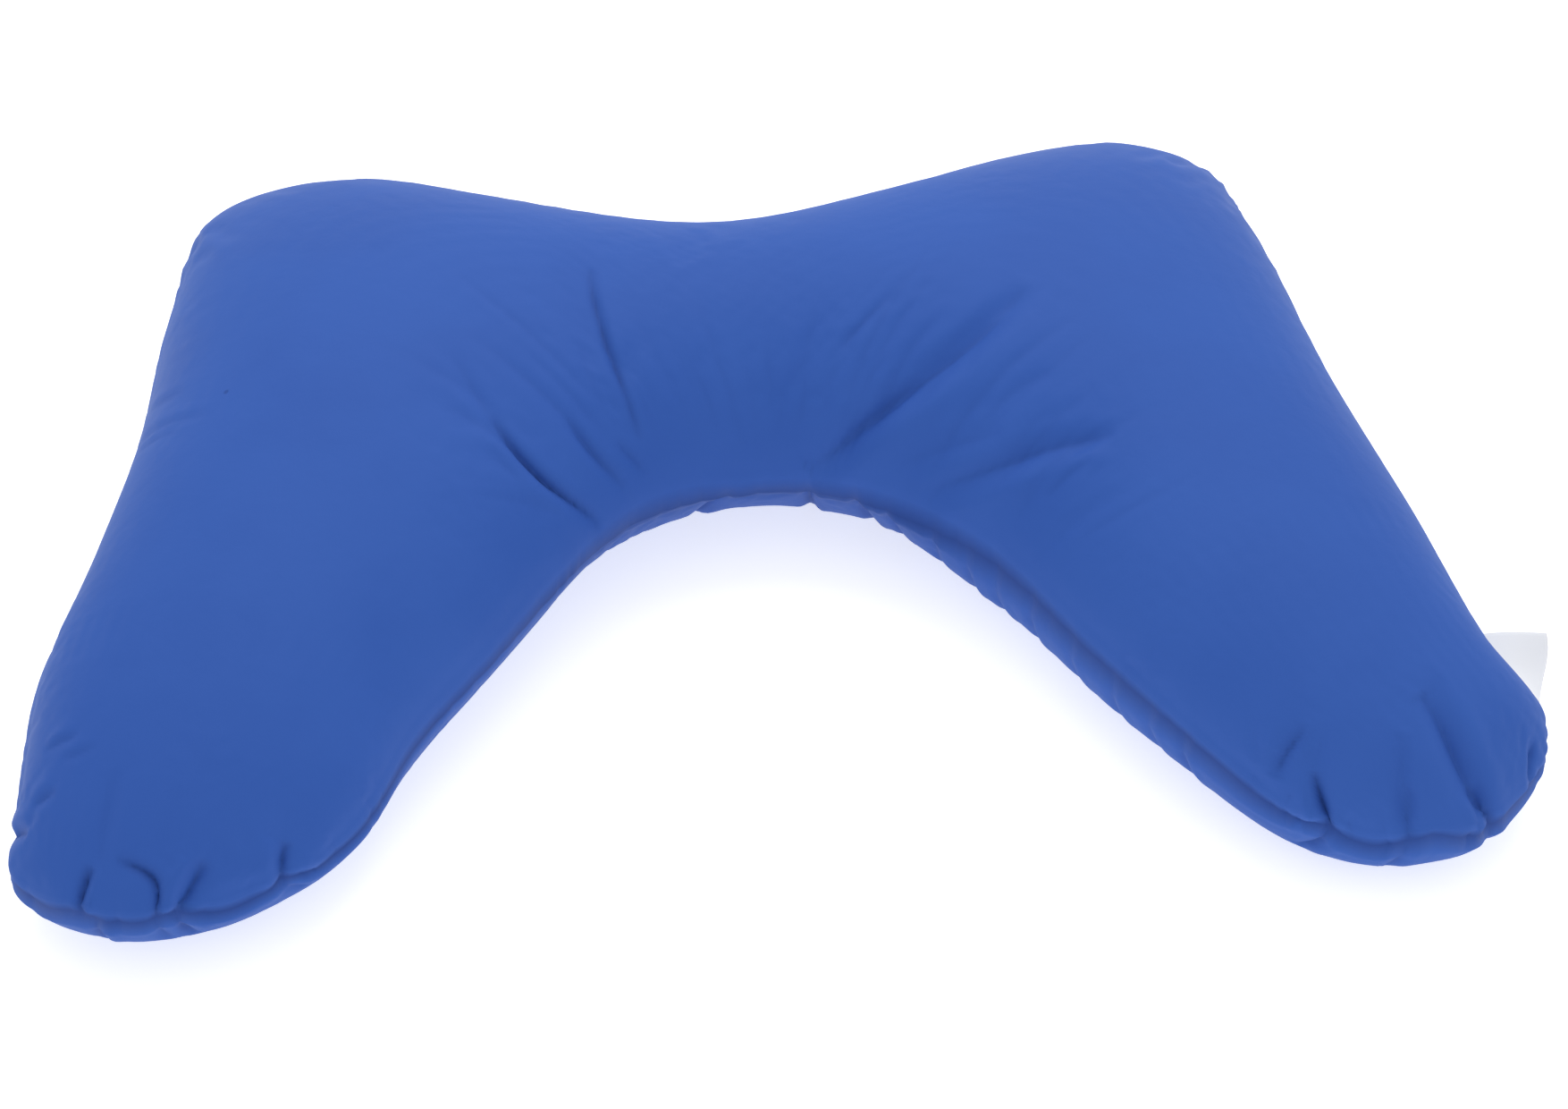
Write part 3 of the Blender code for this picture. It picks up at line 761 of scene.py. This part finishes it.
def label_row(root, away, droop):
    """Points out from the label's root, bending down until the label has turned by its droop."""
    row = [root + away * LABEL_OFF_SEAM]
    stride = LABEL_WIDTH / LABEL_STEPS_OUT
    for step in range(1, LABEL_STEPS_OUT + 1):
        turned = math.sin(step / LABEL_STEPS_OUT * math.pi / 2.0)
        tilt = droop * (LABEL_DROOP_AT_SEAM + (1.0 - LABEL_DROOP_AT_SEAM) * turned)
        row.append(row[-1] + (away * math.cos(tilt) - np.array([0.0, 0.0, math.sin(tilt)])) * stride)
    return row


def label_sheet():
    """Points of the label's middle surface, row by row along the seam from its far end."""
    seam = seam_side(sections_between(), "outer")
    seam = seam[seam[:, 0] > 0.0]
    start = np.interp(-LABEL_START, -seam[:, 1], lengths_along(seam))
    rows = []
    for step in range(LABEL_STEPS_ALONG + 1):
        share = step / LABEL_STEPS_ALONG
        nearby = start + share * LABEL_LENGTH + LABEL_EVENED * np.array([-1.0, 0.0, 1.0])
        before, root, beyond = point_at(seam, nearby)
        away = np.array([before[1] - beyond[1], beyond[0] - before[0], 0.0])
        droop = LABEL_DROOP_FAR + (LABEL_DROOP_NEAR - LABEL_DROOP_FAR) * share**LABEL_DROOP_POWER
        rows.append(label_row(root, away / np.linalg.norm(away), droop))
    return np.array(rows)


class Wire:
    """A socket's value in a material. Arithmetic on it adds Math nodes."""

    def __init__(self, finish, socket):
        self.finish = finish
        self.socket = socket

    def maths(self, operation, *values):
        """A wire out of a new Math node on the values."""
        return self.finish.node("ShaderNodeMath", {"operation": operation}, dict(enumerate(values)))

    def __add__(self, other):
        return self.maths("ADD", self, other)

    def __rsub__(self, other):
        return self.maths("SUBTRACT", other, self)

    def __mul__(self, other):
        return self.maths("MULTIPLY", self, other)

    __radd__ = __add__
    __rmul__ = __mul__


class Finish:
    """A material being made: node() adds a node, and shader() fills the Principled BSDF."""

    def __init__(self, name):
        self.material = bpy.data.materials.new(name)
        self.material.use_nodes = True
        self.tree = self.material.node_tree

    def fill(self, socket, value):
        """Links a wire to the socket, or sets the socket's own value."""
        if isinstance(value, Wire):
            self.tree.links.new(value.socket, socket)
        else:
            socket.default_value = value

    def node(self, kind, settings, sockets, output=0):
        """Adds a node, applies its settings, fills its sockets, and returns one of its outputs."""
        made = self.tree.nodes.new(kind)
        for name, value in settings.items():
            setattr(made, name, value)
        for name, value in sockets.items():
            self.fill(made.inputs[name], value)
        return Wire(self, made.outputs[output])

    def shader(self, sockets):
        """Fills sockets of the material's surface."""
        for name, value in sockets.items():
            self.fill(self.tree.nodes["Principled BSDF"].inputs[name], value)

    def place(self):
        """Object coordinates."""
        return self.node("ShaderNodeTexCoord", {}, {}, "Object")

    def noise(self, place, size, detail):
        """Noise from 0 to 1 whose features are about size metres across."""
        sockets = {"Vector": place, "Scale": 1.0 / size, "Detail": detail}
        return self.node("ShaderNodeTexNoise", {}, sockets, "Fac")

    def ramp(self, value, low, high):
        """A smooth step from 0 where the value is low to 1 where it is high."""
        sockets = {"Value": value, "From Min": low, "From Max": high}
        return self.node("ShaderNodeMapRange", {"interpolation_type": "SMOOTHSTEP"}, sockets, "Result")

    def mix(self, share, first, second):
        """A colour between first and second."""
        return self.node("ShaderNodeMix", {"data_type": "RGBA"}, {0: share, 6: first, 7: second}, 2)

    def bump(self, height, distance, under=None):
        """Normals of a relief so many metres high, laid over the normals under it."""
        sockets = {"Height": height, "Distance": distance, "Strength": 1.0}
        if under is not None:
            sockets["Normal"] = under
        return self.node("ShaderNodeBump", {}, sockets, "Normal")


def coated_cloth(spot):
    """Smooth coated knit: even blue with slight clouding, painted shade in its folds, its seam and under
    the arch, a satin surface, fine grain and faint crinkles, and a small dark spot at its place."""
    cloth = Finish("coated_cloth")
    place = cloth.place()
    cloud = cloth.ramp(cloth.noise(place, CLOUD_SIZE, 3.0), *CLOUD_BETWEEN)
    shade = cloth.node("ShaderNodeAttribute", {"attribute_name": "shade"}, {}, "Fac")
    blue = cloth.mix(cloud, CLOTH_BLUE, CLOTH_BLUE_LIGHT)
    # Painted shade: the shade attribute mixes in the dark blue
    blue = cloth.mix(shade * SHADE_STRENGTH, blue, STAIN_AND_SHADE_BLUE)
    from_spot = cloth.node("ShaderNodeVectorMath", {"operation": "DISTANCE"}, {0: place, 1: spot}, "Value")
    spotted = 1.0 - cloth.ramp(from_spot, SPOT_CORE, SPOT_RADIUS)
    crinkled = cloth.bump(cloth.noise(place, CRINKLE_SIZE, 2.0), CRINKLE_HEIGHT)
    grained = cloth.bump(cloth.noise(place, GRAIN_SIZE, 3.0), GRAIN_HEIGHT, crinkled)
    cloth.shader({
        "Base Color": cloth.mix(spotted * SPOT_STRENGTH, blue, STAIN_AND_SHADE_BLUE),
        "Roughness": CLOTH_ROUGHNESS + CLOUD_ROUGHNESS * cloud,
        "Normal": grained,
        "Sheen Weight": SHEEN_WEIGHT,
        "Sheen Roughness": SHEEN_ROUGHNESS,
        "Sheen Tint": SHEEN_TINT,
        "Specular IOR Level": CLOTH_GLOSS,
    })
    return cloth.material


def label_cloth():
    """White satin ribbon, bare, with a fine weave."""
    cloth = Finish("label_cloth")
    weave = cloth.noise(cloth.place(), WEAVE_SIZE, 2.0)
    cloth.shader({
        "Base Color": LABEL_WHITE,
        "Roughness": LABEL_ROUGHNESS,
        "Normal": cloth.bump(weave, WEAVE_HEIGHT),
    })
    return cloth.material


def floor_paint():
    """Plain matt white that glows a little, so that shadows on it stay pale."""
    paint = Finish("floor_paint")
    paint.shader({
        "Base Color": FLOOR_WHITE,
        "Roughness": FLOOR_ROUGHNESS,
        "Specular IOR Level": FLOOR_GLOSS,
        "Emission Color": PURE_WHITE,
        "Emission Strength": FLOOR_GLOW,
    })
    return paint.material


def add_cushion():
    """The filled cushion, with its spot placed on the finished upper panel."""
    panels, shades = cushion_panels()
    spot = on_panel(panels[0], np.array([SPOT_ALONG]), np.array([SPOT_ACROSS]))[0]
    cushion = soft_object("filled_cushion", panels, shades, coated_cloth(spot))
    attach(cushion, "root")
    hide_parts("cushion")


def add_label():
    """The care label, a ribbon round its middle surface."""
    places = label_sheet()
    label = soft_object("sewn_label", [places], [np.zeros(places.shape[:2])], label_cloth())
    ribbon = label.modifiers.new("ribbon", "SOLIDIFY")
    ribbon.thickness = LABEL_THICKNESS
    ribbon.offset = 0.0
    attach(label, "root")
    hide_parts("care_label")


def add_floor():
    """The pale floor that the pillow lies on."""
    mesh = bmesh.new()
    bmesh.ops.create_grid(mesh, x_segments=1, y_segments=1, size=FLOOR_SIZE)
    data = bpy.data.meshes.new("floor")
    mesh.to_mesh(data)
    mesh.free()
    data.materials.append(floor_paint())
    floor = bpy.data.objects.new("floor", data)
    bpy.context.scene.collection.objects.link(floor)


def aimed(made, place, target):
    """Puts a camera or a light in place and turns it towards its target."""
    bpy.context.scene.collection.objects.link(made)
    made.location = place
    made.rotation_euler = (target - place).to_track_quat("-Z", "Y").to_euler()
    return made


def add_studio():
    """The even sky and the large soft light."""
    world = bpy.data.worlds.new("studio")
    world.use_nodes = True
    sky = world.node_tree.nodes["Background"].inputs
    sky["Color"].default_value = PURE_WHITE
    sky["Strength"].default_value = SKY_STRENGTH
    bpy.context.scene.world = world
    bpy.context.scene.view_settings.view_transform = "Standard"

    light = bpy.data.lights.new("overhead", "AREA")
    light.shape = "SQUARE"
    light.size = LIGHT_SIZE
    light.energy = LIGHT_POWER
    aimed(bpy.data.objects.new("overhead", light), LIGHT_PLACE, CAMERA_TARGET)


def add_camera():
    """The camera, which looks at the pillow as the photo does."""
    camera = bpy.data.cameras.new("camera")
    camera.lens = CAMERA_LENS
    back = Vector((
        math.sin(CAMERA_AZIMUTH) * math.cos(CAMERA_ELEVATION),
        -math.cos(CAMERA_AZIMUTH) * math.cos(CAMERA_ELEVATION),
        math.sin(CAMERA_ELEVATION),
    ))
    place = CAMERA_TARGET + back * CAMERA_DISTANCE
    bpy.context.scene.camera = aimed(bpy.data.objects.new("camera", camera), place, CAMERA_TARGET)


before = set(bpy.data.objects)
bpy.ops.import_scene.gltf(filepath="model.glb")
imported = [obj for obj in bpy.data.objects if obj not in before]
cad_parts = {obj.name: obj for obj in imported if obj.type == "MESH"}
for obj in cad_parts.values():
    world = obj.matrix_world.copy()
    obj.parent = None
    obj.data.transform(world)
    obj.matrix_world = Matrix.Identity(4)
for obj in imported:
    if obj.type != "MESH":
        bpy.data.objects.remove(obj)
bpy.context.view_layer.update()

add_camera()
add_cushion()
add_label()
add_floor()
add_studio()
